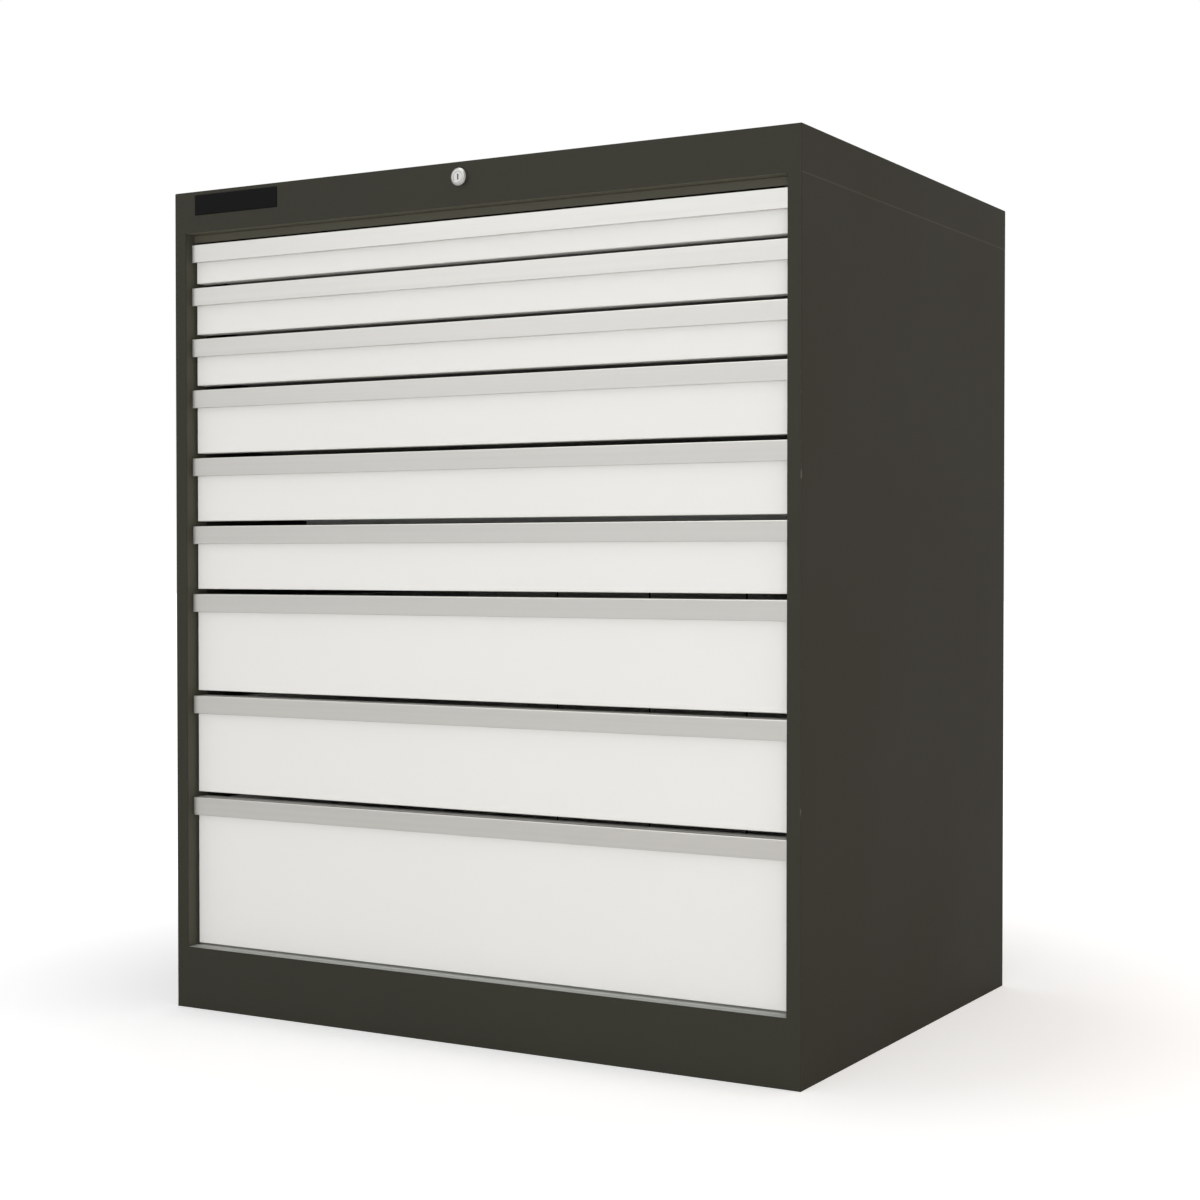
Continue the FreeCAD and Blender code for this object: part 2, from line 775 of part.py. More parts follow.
def cabinet():
    """Every piece of the cabinet by its name."""
    right_side = side_panel()
    hook_front, hook_rear = hook_places()
    front_post = post(jamb_depth, hook_front)
    rear_post = post(back_panel_deep - post_depth, hook_rear)
    rails = fixed_rails()
    pieces = {
        "left_side_panel": mirrored(right_side),
        "right_side_panel": right_side,
        "back_panel": back_panel(),
        "top_cap": top_cap(),
        "head_rail": head_rail(),
        "front_plinth": front_plinth(),
        "floor_pan": floor_pan(),
        "base_bearers": base_bearers(),
        "front_left_post": mirrored(front_post),
        "front_right_post": front_post,
        "rear_left_post": mirrored(rear_post),
        "rear_right_post": rear_post,
        "left_fixed_rails": group([mirrored(rail) for rail in rails]),
        "right_fixed_rails": group(rails),
        "lock_barrel": lock_barrel(),
        "lock_nut": lock_nut(),
        "lock_plug": lock_plug(),
        "lock_cam": lock_cam(),
        "transfer_rod": transfer_rod(),
        "transfer_rod_guides": transfer_rod_guides(),
        "bell_crank": bell_crank(),
        "crank_bracket": crank_bracket(),
        "lock_bar": lock_bar(),
        "lock_bar_guides": lock_bar_guides(),
    }
    for number in range(1, len(drawer_heights) + 1):
        pieces[f"drawer_{number}_front"] = drawer_front(number)
        pieces[f"drawer_{number}_handle"] = drawer_handle(number)
        pieces[f"drawer_{number}_tray"] = drawer_tray(number)
        pieces[f"drawer_{number}_carriages"] = drawer_carriages(number)
    return pieces


os.makedirs("parts", exist_ok=True)
for name, shape in cabinet().items():
    shape.exportStep(f"parts/{name}.step")
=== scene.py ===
# %% [markdown]
# # A heavy-duty drawer cabinet
#
# The cabinet is folded sheet steel: a dark powder-coated case, nine light-grey drawers, and a satin
# aluminium pull across each drawer. The solids come from the CAD model. This lesson gives every one of
# them a finish, and makes anew the pieces whose edges catch the light: fronts, pulls, lock and rollers.

# %% Load the frame
import json
import math

import bpy
import numpy as np
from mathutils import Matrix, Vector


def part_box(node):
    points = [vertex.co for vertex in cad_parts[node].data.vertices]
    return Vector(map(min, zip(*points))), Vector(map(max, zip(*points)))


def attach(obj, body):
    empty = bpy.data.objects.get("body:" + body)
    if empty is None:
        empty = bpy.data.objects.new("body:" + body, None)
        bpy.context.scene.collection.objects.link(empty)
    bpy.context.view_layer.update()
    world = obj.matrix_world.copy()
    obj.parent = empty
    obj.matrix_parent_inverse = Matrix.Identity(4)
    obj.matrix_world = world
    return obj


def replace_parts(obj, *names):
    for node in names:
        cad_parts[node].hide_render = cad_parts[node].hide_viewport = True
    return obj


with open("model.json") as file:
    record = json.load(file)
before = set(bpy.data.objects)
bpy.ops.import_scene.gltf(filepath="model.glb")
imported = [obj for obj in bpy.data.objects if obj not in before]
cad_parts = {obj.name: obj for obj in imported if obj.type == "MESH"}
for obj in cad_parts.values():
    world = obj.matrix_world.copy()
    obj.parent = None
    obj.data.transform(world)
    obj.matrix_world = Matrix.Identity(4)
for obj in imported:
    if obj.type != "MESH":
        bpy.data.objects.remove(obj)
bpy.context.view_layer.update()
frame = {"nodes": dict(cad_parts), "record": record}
drawers = sorted({int(n.split("_")[1]) for n in frame["nodes"] if n.startswith("drawer_")})
print("nodes", len(frame["nodes"]), "drawers", drawers)

# %% [markdown]
# ## Colours
#
# A picture gives colours as screen values from 0 to 255, but a shader works with light, which is
# linear. The sRGB curve turns one into the other. Linear numbers could be typed in as well, but a
# finish is easier to judge and to mend when it is written down as it looks.

# %% Screen colour to shader colour
def paint(red, green, blue):
    """A shader colour from screen values: c/12.92 near black, otherwise ((c + 0.055)/1.055)^2.4."""
    screen = np.array([red, green, blue]) / 255
    light = np.where(screen <= 0.04045, screen / 12.92, ((screen + 0.055) / 1.055) ** 2.4)
    return (*light.tolist(), 1.0)


def scaled_colour(colour, share):
    """The same colour, lighter or darker: each channel times the share."""
    return (*[channel * share for channel in colour[:3]], 1.0)


CASE_COLOUR = paint(53, 52, 44)
FRONT_COLOUR = paint(229, 228, 224)
PAN_COLOUR = paint(176, 178, 174)
PAN_PAINTED_LIGHT_COLOUR = paint(238, 238, 235)
PRIMER_COLOUR = paint(112, 110, 106)
DUST_COLOUR = paint(150, 146, 138)
ALUMINIUM_COLOUR = paint(221, 219, 214)
ZINC_COLOUR = paint(182, 186, 190)
NICKEL_COLOUR = paint(196, 195, 192)
print("case paint as light", [round(c, 4) for c in CASE_COLOUR[:3]])

# %% [markdown]
# ## Nodes in one line
#
# A material is a graph of nodes. It can be drawn by hand in the shader editor, but a script can be read
# and changed line by line. Writing out one node takes five lines, so a helper makes any node in one, and
# takes plain values and the sockets of other nodes alike.

# %% Helper: a node and what feeds it
GRID = 200.0
WHITE = (1.0, 1.0, 1.0, 1.0)


def feed(tree, socket, value):
    """A socket is linked to another socket, or else holds the value itself."""
    if isinstance(value, bpy.types.NodeSocket):
        tree.links.new(value, socket)
    else:
        socket.default_value = value


def add_node(tree, kind, at, inputs=None, **settings):
    """A node of one kind, drawn at (column, row) times GRID: inputs are values or sockets."""
    made = tree.nodes.new("ShaderNode" + kind)
    made.location = (at[0] * GRID, at[1] * GRID)
    for name, value in settings.items():
        setattr(made, name, value)
    for name, value in (inputs or {}).items():
        feed(tree, made.inputs[name], value)
    return made


print("distance between drawn nodes", GRID)

# %% [markdown]
# Most nodes in this lesson do one of a few things: they work out a number or a vector, measure a vector
# or take it apart, carry a value from one span to another, or make noise. Each has a short name here.

# %% Helpers: sums, spans and noise
def worked_out(tree, at, operation, *values):
    """A number from one operation on one, two or three values, in their order."""
    return add_node(tree, "Math", at, dict(enumerate(values)), operation=operation).outputs[0]


def worked_out_vector(tree, at, operation, *values):
    """A vector from one operation on each of its parts."""
    return add_node(tree, "VectorMath", at, dict(enumerate(values)), operation=operation).outputs[0]


def length(tree, at, vector):
    """The length of a vector: the root of x^2 + y^2 + z^2."""
    return add_node(tree, "VectorMath", at, {0: vector}, operation="LENGTH").outputs["Value"]


def apart(tree, at, vector):
    """The x, y and z of a vector."""
    return add_node(tree, "SeparateXYZ", at, {0: vector}).outputs


def carried(tree, at, value, span, result=(0.0, 1.0), **settings):
    """A value in one span at the same share of another: low + (v - start)/(end - start)*(high - low)."""
    inputs = {0: value, 1: span[0], 2: span[1], 3: result[0], 4: result[1]}
    return add_node(tree, "MapRange", at, inputs, **settings).outputs[0]


def noise(tree, at, place, scale, detail):
    """Smooth noise about 0.5, with scale waves to the metre and finer layers as the detail grows."""
    return add_node(tree, "TexNoise", at, {"Vector": place, "Scale": scale, "Detail": detail}).outputs["Fac"]


helpers = (worked_out, worked_out_vector, length, apart, carried, noise)
print("helpers", [helper.__name__ for helper in helpers])

# %% [markdown]
# ## Groups
#
# The grain of the paint is on the case, the drawers and the plate, each time at its own scale. Copying
# its nodes would do, but a mend would then be made in every copy. A group is built once, has named
# sockets, and is placed in each material with its own values.

# %% Helpers: build a group and place it
def new_group(name, inputs, outputs):
    """A group that reads a place, Vector, and the named inputs, and gives out the named numbers."""
    group = bpy.data.node_groups.new(name, "ShaderNodeTree")
    for label, value in {"Vector": (0.0, 0.0, 0.0), **inputs}.items():
        kind = "NodeSocketVector" if isinstance(value, tuple) else "NodeSocketFloat"
        group.interface.new_socket(label, in_out="INPUT", socket_type=kind).default_value = value
    for label in outputs:
        group.interface.new_socket(label, in_out="OUTPUT", socket_type="NodeSocketFloat")
    way_in = group.nodes.new("NodeGroupInput")
    way_in.location = (-6 * GRID, 0)
    way_out = group.nodes.new("NodeGroupOutput")
    way_out.location = (6 * GRID, 0)
    return group, way_in.outputs, way_out.inputs


def place_group(tree, group, at, place, **values):
    """One use of a group in a material: the place on the piece, and values for its other inputs."""
    return add_node(tree, "Group", at, {"Vector": place, **values}, node_tree=group).outputs


print("groups so far", len(bpy.data.node_groups))

# %% [markdown]
# ## The grain of powder coat
#
# Powder is sprayed dry and melts into a skin that is never quite flat: a fine grain lies on a broader
# swell, like orange peel. Two layers of noise give both. A third, very broad one shifts the tone a
# little, because a flat colour over a square metre of steel looks like plastic.

# %% Group: powder grain
GRAIN_SHARE = 0.35

powder_grain, given, result = new_group("powder_grain", {"Grain": 0.0009, "Swell": 0.006}, ["Height", "Tone"])
grain_scale = worked_out(powder_grain, (-3, 1), "DIVIDE", 1.0, given["Grain"])
swell_scale = worked_out(powder_grain, (-3, 0), "DIVIDE", 1.0, given["Swell"])
fine = noise(powder_grain, (-2, 1), given["Vector"], scale=grain_scale, detail=1.5)
broad = noise(powder_grain, (-2, 0), given["Vector"], scale=swell_scale, detail=1.0)
cloud = noise(powder_grain, (-2, -1), given["Vector"], scale=3.5, detail=3.0)
height = worked_out(powder_grain, (0, 1), "MULTIPLY_ADD", fine, GRAIN_SHARE, broad)
feed(powder_grain, result["Height"], height)
feed(powder_grain, result["Tone"], cloud)
print("powder grain", len(powder_grain.nodes), "nodes")

# %% [markdown]
# ## Wear along the edges
#
# Paint goes first where steel is folded, because the skin is thinnest there and everything knocks
# against it. It could be painted on by hand or found from the curvature of the mesh. On a box the place
# is enough: of the distances to the nearest wall along x, y and z, the smallest is that to the face
# itself, and the middle one is the distance to its edge. Noise breaks the wear up into specks.

# %% Group: edge wear
LEAST_WEAR = 0.0002
WORN_NOISE = (0.6, 0.8)

edge_wear, given, result = new_group(
    "edge_wear", {"Low": (0.0, 0.0, 0.0), "High": (1.0, 1.0, 1.0), "Width": 0.003, "Breakup": 60.0}, ["Mask"]
)
from_low = worked_out_vector(edge_wear, (-4, 1), "SUBTRACT", given["Vector"], given["Low"])
from_high = worked_out_vector(edge_wear, (-4, 0), "SUBTRACT", given["High"], given["Vector"])
nearest = worked_out_vector(edge_wear, (-3, 0), "MINIMUM", from_low, from_high)
x, y, z = apart(edge_wear, (-2, 0), nearest)
nearer = worked_out(edge_wear, (-1, 1), "MINIMUM", x, y)
farther = worked_out(edge_wear, (-1, 0), "MAXIMUM", x, y)
farther = worked_out(edge_wear, (0, 0), "MINIMUM", farther, z)
to_edge = worked_out(edge_wear, (1, 0), "MAXIMUM", nearer, farther)
specks = noise(edge_wear, (0, -1), given["Vector"], scale=given["Breakup"], detail=4.0)
reach = carried(edge_wear, (1, -1), specks, WORN_NOISE, (0.0, given["Width"]))
worn = carried(edge_wear, (3, 0), to_edge, (reach, 0.0))
present = worked_out(edge_wear, (3, -1), "GREATER_THAN", reach, LEAST_WEAR)
feed(edge_wear, result["Mask"], worked_out(edge_wear, (4, 0), "MULTIPLY", worn, present))
print("edge wear", len(edge_wear.nodes), "nodes")

# %% [markdown]
# ## Dust
#
# Dust settles on what faces up and stays longest where nobody wipes. The upward part of the surface's
# normal says where it can lie, and a slow noise says where it has been left.

# %% Group: settled dust
FACING_UP = (0.6, 1.0)
DUSTY_NOISE = (0.3, 0.8)

settled_dust, given, result = new_group("settled_dust", {"Amount": 0.2}, ["Mask"])
normal = add_node(settled_dust, "NewGeometry", (-4, 0)).outputs["Normal"]
upward = carried(settled_dust, (-2, 0), apart(settled_dust, (-3, 0), normal)["Z"], FACING_UP)
patches = noise(settled_dust, (-3, -1), given["Vector"], scale=9.0, detail=6.0)
left = carried(settled_dust, (-2, -1), patches, DUSTY_NOISE)
lying = worked_out(settled_dust, (0, 0), "MULTIPLY", upward, left)
feed(settled_dust, result["Mask"], worked_out(settled_dust, (2, 0), "MULTIPLY", lying, given["Amount"]))
print("settled dust", len(settled_dust.nodes), "nodes")

# %% [markdown]
# ## Drawn lines
#
# Aluminium that is pushed through a die, and steel that is rolled, carry fine lines along their length.
# An anisotropic shader would stretch the shine but draw no lines. Noise whose place is squeezed along
# one axis gives streaks along that axis.

# %% Group: drawn lines
BANDS_PER_METRE = 160.0

drawn_lines, given, result = new_group(
    "drawn_lines", {"Across": 1400.0, "Along": (0.004, 1.0, 1.0)}, ["Height", "Tone"]
)
squeezed = worked_out_vector(drawn_lines, (-3, 0), "MULTIPLY", given["Vector"], given["Along"])
streaks = noise(drawn_lines, (-2, 0), squeezed, scale=given["Across"], detail=2.0)
bands = noise(drawn_lines, (-2, -1), squeezed, scale=BANDS_PER_METRE, detail=2.0)
feed(drawn_lines, result["Height"], streaks)
feed(drawn_lines, result["Tone"], bands)
print("drawn lines", len(drawn_lines.nodes), "nodes")

# %% [markdown]
# ## Spot welds
#
# The back is spot-welded to the flanges of the sides, and each weld leaves a round dent less than a
# millimetre deep. Cut into the mesh, each would need a ring of faces of its own, so the dents are relief
# in the paint. One formula makes both rows, because x is mirrored and z is taken modulo the pitch.

# %% Group: spot welds
WELD_COLUMN = 0.4925
WELD_PITCH = 0.07
WELD_RADIUS = 0.003
WELD_WALL = (0.7, 1.0)
WELDED_BEHIND = 0.37

spot_welds, given, result = new_group(
    "spot_welds", {"Across": WELD_COLUMN, "Pitch": WELD_PITCH, "Radius": WELD_RADIUS}, ["Height"]
)
x, y, z = apart(spot_welds, (-5, 0), given["Vector"])
mirrored = worked_out(spot_welds, (-4, 1), "ABSOLUTE", x)
sideways = worked_out(spot_welds, (-3, 1), "SUBTRACT", mirrored, given["Across"])
half = worked_out(spot_welds, (-4, -1), "MULTIPLY", given["Pitch"], 0.5)
row = worked_out(spot_welds, (-4, 0), "FLOORED_MODULO", z, given["Pitch"])
upright = worked_out(spot_welds, (-3, 0), "SUBTRACT", row, half)
spread = add_node(spot_welds, "CombineXYZ", (-2, 0), {"X": sideways, "Y": upright}).outputs[0]
share = worked_out(spot_welds, (0, 0), "DIVIDE", length(spot_welds, (-1, 0), spread), given["Radius"])
dent = carried(spot_welds, (1, 0), share, WELD_WALL, interpolation_type="SMOOTHSTEP")
elsewhere = worked_out(spot_welds, (1, -1), "LESS_THAN", y, WELDED_BEHIND)
feed(spot_welds, result["Height"], worked_out(spot_welds, (3, 0), "MAXIMUM", dent, elsewhere))
print("spot welds", len(spot_welds.nodes), "nodes")

# %% [markdown]
# ## The recess
#
# The drawers lie deeper than the case's front. Round them, on the jambs, the head rail and the underside
# of the cap, light comes back from the drawers, so the recess looks lighter than the rest. More lamps
# would lighten everything, so this place gets a mask where the paint is lightened as painted light, and
# the part of it that faces down gets a second one. The limits of both are read from the boxes of the solids.

# %% Group: recess
SKIN = 0.0002
RECESS_DEPTH = 0.045
FACING_DOWN = -0.7

cap_low, cap_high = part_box("top_cap")
case_front = cap_low.y
opening_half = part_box("head_rail")[1].x

recess, given, result = new_group("recess", {"Start": case_front, "Ramp": 0.003}, ["Mask", "Underside"])
x, y, z = apart(recess, (-4, 0), given["Vector"])
deep = worked_out(recess, (-3, 1), "SUBTRACT", y, given["Start"])
rising = carried(recess, (-2, 1), deep, (2 * SKIN, given["Ramp"]))
shallow = worked_out(recess, (-2, 2), "LESS_THAN", deep, RECESS_DEPTH)
mirrored = worked_out(recess, (-3, 0), "ABSOLUTE", x)
between = worked_out(recess, (-2, 0), "LESS_THAN", mirrored, opening_half + SKIN)
below = worked_out(recess, (-2, -1), "LESS_THAN", z, cap_low.z + SKIN)
level = worked_out(recess, (-1, 0), "MULTIPLY", between, below)
mouth = worked_out(recess, (0, 0), "MULTIPLY", level, shallow)
feed(recess, result["Mask"], worked_out(recess, (1, 1), "MULTIPLY", mouth, rising))

normal = add_node(recess, "NewGeometry", (-4, -2)).outputs["Normal"]
downward = worked_out(recess, (-2, -2), "LESS_THAN", apart(recess, (-3, -2), normal)["Z"], FACING_DOWN)
feed(recess, result["Underside"], worked_out(recess, (1, -1), "MULTIPLY", mouth, downward))
print("recess", round(2 * opening_half, 4), "m wide,", RECESS_DEPTH, "m deep")

# %% [markdown]
# ## The seam
#
# The cap's lower edge is a fold, and along the sides and the back it catches a thin line of light. The
# edge in the mesh is sharp and catches none. Rounding it would mean a new cap for a line two millimetres
# wide, so a mask marks the height of the edge, on the outside only, and the paint is lightened there: a
# painted highlight.

# %% Group: seam line
SEAM_CORE = 0.0003

seam_line, given, result = new_group("seam_line", {"Width": 0.0014}, ["Mask"])
x, y, z = apart(seam_line, (-4, 0), given["Vector"])
above = worked_out(seam_line, (-3, 1), "SUBTRACT", z, cap_low.z)
off = worked_out(seam_line, (-2, 1), "ABSOLUTE", above)
near = carried(seam_line, (-1, 1), off, (given["Width"], SEAM_CORE))
mirrored = worked_out(seam_line, (-3, 0), "ABSOLUTE", x)
aside = worked_out(seam_line, (-2, 0), "GREATER_THAN", mirrored, cap_high.x - 2 * SKIN)
behind = worked_out(seam_line, (-2, -1), "GREATER_THAN", y, cap_high.y - 2 * SKIN)
outside = worked_out(seam_line, (-1, 0), "MAXIMUM", aside, behind)
feed(seam_line, result["Mask"], worked_out(seam_line, (0, 0), "MULTIPLY", near, outside))
print("seam at", round(cap_low.z, 4), "m")

# %% [markdown]
# ## Shading helpers
#
# Every finish here is one Principled shader. What differs is how its colour, its roughness and its
# relief change over the surface, so each of these gets a helper that reads like a sentence.

# %% Helpers: a material and its changes
USUAL_NOISE = (0.3, 0.7)


def new_material(name):
    """An empty material with a Principled shader, and its Object coordinates."""
    material = bpy.data.materials.new(name)
    material.use_nodes = True
    tree = material.node_tree
    tree.nodes.clear()
    out = add_node(tree, "OutputMaterial", (6, 0))
    shader = add_node(tree, "BsdfPrincipled", (4, 0))
    feed(tree, out.inputs["Surface"], shader.outputs[0])
    place = add_node(tree, "TexCoord", (-6, 0)).outputs["Object"]
    return material, tree, shader, place


def dress(tree, shader, **levels):
    """The shader's inputs by name, with _ for a blank: each gets a value or a socket."""
    for name, value in levels.items():
        feed(tree, shader.inputs[name.replace("_", " ")], value)


def mixed(tree, at, share, first, second):
    """A colour between two others: first * (1 - share) + second * share."""
    return add_node(tree, "Mix", at, {0: share, 6: first, 7: second}, data_type="RGBA").outputs[2]


def toned(tree, at, share, colour, low, high):
    """A colour that runs with a share from low to high times itself."""
    return mixed(tree, at, share, scaled_colour(colour, low), scaled_colour(colour, high))


def ranged(tree, at, value, low, high):
    """A value that runs from low to high as another runs through the usual span of noise."""
    return carried(tree, at, value, USUAL_NOISE, (low, high))


def bumped(tree, at, height, distance, strength, **under):
    """A normal tilted by the slope of a height, which stands for so many metres of relief."""
    inputs = {"Height": height, "Distance": distance, "Strength": strength, **under}
    return add_node(tree, "Bump", at, inputs).outputs[0]


print("materials so far", len(bpy.data.materials))

# %% [markdown]
# ## The paint of the case
#
# The case is a warm black with a fine, fairly matt texture. Its corners show a trace of primer and its
# top holds a little dust. An image would show its pixels close by. Built from the groups above, the
# paint is sharp at every distance, and each effect goes on over the one before it.

# %% Material: case paint
# Painted light: the case colour is lightened by the first share in the recess, and by the second on its
# underside.
RECESS_PAINTED_LIGHT = 2.3
UNDERSIDE_PAINTED_LIGHT = 4.1
# Painted highlight: the case colour is lightened by this share along the seam.
SEAM_PAINTED_HIGHLIGHT = 1.7
STANDS_ON = 0.0

case_paint, tree, shader, place = new_material("case_paint")
case_low, case_high = (cap_low.x, case_front, STANDS_ON), tuple(cap_high)
grain = place_group(tree, powder_grain, (-4, 1), place, Grain=0.0011, Swell=0.005)
painted_recess_light = place_group(tree, recess, (-4, 3), place)
edge = place_group(tree, seam_line, (-4, 2), place)
box = {"Low": case_low, "High": case_high}
wear = place_group(tree, edge_wear, (-4, -1), place, **box, Width=0.0022, Breakup=45.0)
dust = place_group(tree, settled_dust, (-4, -2), place, Amount=0.10)
welds = place_group(tree, spot_welds, (-4, -3), place)

tone = toned(tree, (-2, 1), grain["Tone"], CASE_COLOUR, low=0.9, high=1.1)
for row, mask, over in (
    (2, painted_recess_light["Mask"], scaled_colour(CASE_COLOUR, RECESS_PAINTED_LIGHT)),
    (3, painted_recess_light["Underside"], scaled_colour(CASE_COLOUR, UNDERSIDE_PAINTED_LIGHT)),
    (4, edge["Mask"], scaled_colour(CASE_COLOUR, SEAM_PAINTED_HIGHLIGHT)),
    (5, wear["Mask"], PRIMER_COLOUR),
    (6, dust["Mask"], DUST_COLOUR),
):
    tone = mixed(tree, (row - 3, row), mask, tone, over)

fine = bumped(tree, (1, -1), grain["Height"], distance=0.0002, strength=0.35)
relief = bumped(tree, (2, -1), welds["Height"], distance=0.0006, strength=1.0, Normal=fine)
roughness = ranged(tree, (0, 0), grain["Tone"], low=0.5, high=0.58)
dress(tree, shader, Base_Color=tone, Roughness=roughness, Normal=relief, Specular_IOR_Level=0.12)
print("case paint", len(tree.nodes), "nodes, box", [round(c, 4) for c in (*case_low, *case_high)])

# %% [markdown]
# ## The paint of the drawers
#
# Fronts and trays have a smoother, lighter coat. Only a broad swell shows in the way it shines, so the
# grain is finer and the relief lower than on the case. The floor pan is a little greyer. Under the lowest
# drawer, behind its front edge, it is painted near white: painted light that takes away the shade there.

# %% Materials: front paint and pan paint
PAN_EDGE = 0.012

front_paint, tree, shader, place = new_material("front_paint")
grain = place_group(tree, powder_grain, (-4, 1), place, Grain=0.0007, Swell=0.004)
dust = place_group(tree, settled_dust, (-4, -2), place, Amount=0.05)
tone = toned(tree, (-2, 1), grain["Tone"], FRONT_COLOUR, low=0.985, high=1.01)
tone = mixed(tree, (-1, 1), dust["Mask"], tone, DUST_COLOUR)
roughness = ranged(tree, (0, 0), grain["Tone"], low=0.42, high=0.5)
relief = bumped(tree, (2, -1), grain["Height"], distance=0.00012, strength=0.3)
dress(tree, shader, Base_Color=tone, Roughness=roughness, Normal=relief, Specular_IOR_Level=0.15)

pan_paint, tree, shader, place = new_material("pan_paint")
grain = place_group(tree, powder_grain, (-4, 1), place, Grain=0.0009, Swell=0.005)
painted_recess_light = place_group(tree, recess, (-4, 2), place, Start=case_front + PAN_EDGE, Ramp=0.008)
tone = toned(tree, (-2, 1), grain["Tone"], PAN_COLOUR, low=0.95, high=1.05)
# Behind the pan's front edge the colour turns near white: painted light in place of the shade under the
# lowest front.
tone = mixed(tree, (-1, 1), painted_recess_light["Mask"], tone, PAN_PAINTED_LIGHT_COLOUR)
roughness = ranged(tree, (0, 0), grain["Tone"], low=0.45, high=0.55)
dress(tree, shader, Base_Color=tone, Roughness=roughness)
dress(tree, shader, Normal=bumped(tree, (2, -1), grain["Height"], distance=0.00015, strength=0.3))
print("paints", front_paint.name, pan_paint.name)

# %% [markdown]
# ## Aluminium and steel
#
# The pulls are satin anodised aluminium with lines along their length. Runners and lock rods are
# zinc-plated steel, cooler and a little blotched. The rollers are ground and shine most. All three are
# metals with drawn lines, and differ in the direction of the lines, the tone and how sharp they shine.

# %% Materials: aluminium, zinc and bearing steel
aluminium, tree, shader, place = new_material("satin_aluminium")
lines = place_group(tree, drawn_lines, (-4, 0), place, Across=1500.0, Along=(0.004, 1.0, 1.0))
tone = toned(tree, (-2, 1), lines["Tone"], ALUMINIUM_COLOUR, low=0.95, high=1.04)
roughness = ranged(tree, (0, 0), lines["Height"], low=0.34, high=0.42)
relief = bumped(tree, (2, -1), lines["Height"], distance=0.00005, strength=0.25)
dress(tree, shader, Base_Color=tone, Roughness=roughness, Normal=relief, Metallic=1.0)

zinc, tree, shader, place = new_material("zinc_plated_steel")
lines = place_group(tree, drawn_lines, (-4, 0), place, Across=900.0, Along=(1.0, 0.01, 1.0))
blotches = noise(tree, (-4, -1), place, scale=40.0, detail=4.0)
tone = toned(tree, (-2, 1), blotches, ZINC_COLOUR, low=0.86, high=1.08)
roughness = ranged(tree, (0, 0), blotches, low=0.3, high=0.46)
relief = bumped(tree, (2, -1), lines["Height"], distance=0.00006, strength=0.25)
dress(tree, shader, Base_Color=tone, Roughness=roughness, Normal=relief, Metallic=1.0)

bearing_steel, tree, shader, place = new_material("bearing_steel")
lines = place_group(tree, drawn_lines, (-4, 0), place, Across=1800.0, Along=(1.0, 0.02, 0.02))
tone = toned(tree, (-2, 1), lines["Tone"], ZINC_COLOUR, low=0.8, high=0.95)
roughness = ranged(tree, (0, 0), lines["Height"], low=0.18, high=0.28)
dress(tree, shader, Base_Color=tone, Roughness=roughness, Metallic=1.0)
print("metals", aluminium.name, zinc.name, bearing_steel.name)

# %% [markdown]
# ## Turned nickel
#
# The lock is turned on a lathe, which leaves rings about its axis. A drawn line can't follow them, but
# a sine of the distance from the axis can: half a wave up, half a wave down, all the way out.

# %% Material: nickel
RING_WAVES = 16000.0

lock_low, lock_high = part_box("lock_plug")
lock_axis = (lock_low + lock_high) / 2
nickel, tree, shader, place = new_material("turned_nickel")
centred = worked_out_vector(tree, (-5, 0), "SUBTRACT", place, (lock_axis.x, 0.0, lock_axis.z))
flat = worked_out_vector(tree, (-4, 0), "MULTIPLY", centred, (1.0, 0.0, 1.0))
waves = worked_out(tree, (-2, 0), "MULTIPLY", length(tree, (-3, 0), flat), RING_WAVES)
rings = worked_out(tree, (0, 0), "MULTIPLY_ADD", worked_out(tree, (-1, 0), "SINE", waves), 0.5, 0.5)
tone = toned(tree, (1, 1), rings, NICKEL_COLOUR, low=0.94, high=1.02)
roughness = ranged(tree, (1, 0), rings, low=0.3, high=0.36)
relief = bumped(tree, (2, -1), rings, distance=0.00002, strength=0.2)
dress(tree, shader, Base_Color=tone, Roughness=roughness, Normal=relief, Metallic=1.0)
print("rings", round(2000 * math.pi / RING_WAVES, 3), "mm apart, about", [round(c, 4) for c in lock_axis])

# %% [markdown]
# ## Finishes for the solids
#
# Each solid has one material slot. The record says what each one is made of, and the table here turns
# those names into the finishes above, so that no list of pieces has to be kept by hand.

# %% Give every solid its finish
finishes = {
    "case_paint": case_paint,
    "front_paint": front_paint,
    "pan_paint": pan_paint,
    "pull_aluminium": aluminium,
    "zinc_steel": zinc,
    "runner_steel": zinc,
    "lock_metal": nickel,
}
for part in frame["record"]["subparts"]:
    mesh = frame["nodes"][part["node"]].data
    mesh.materials.clear()
    mesh.materials.append(finishes[part["material_slot"]])

# %% [markdown]
# ## Surfaces from arrays
#
# A new piece is a grid of points: rows are sections, and columns run along each section. Modelling by
# hand would give the same mesh once. A grid gives it for all nine drawers, at the sizes that their
# solids have. The last column is joined to the first. A ring also joins its last row to the first, and
# any other grid closes each end with a face.

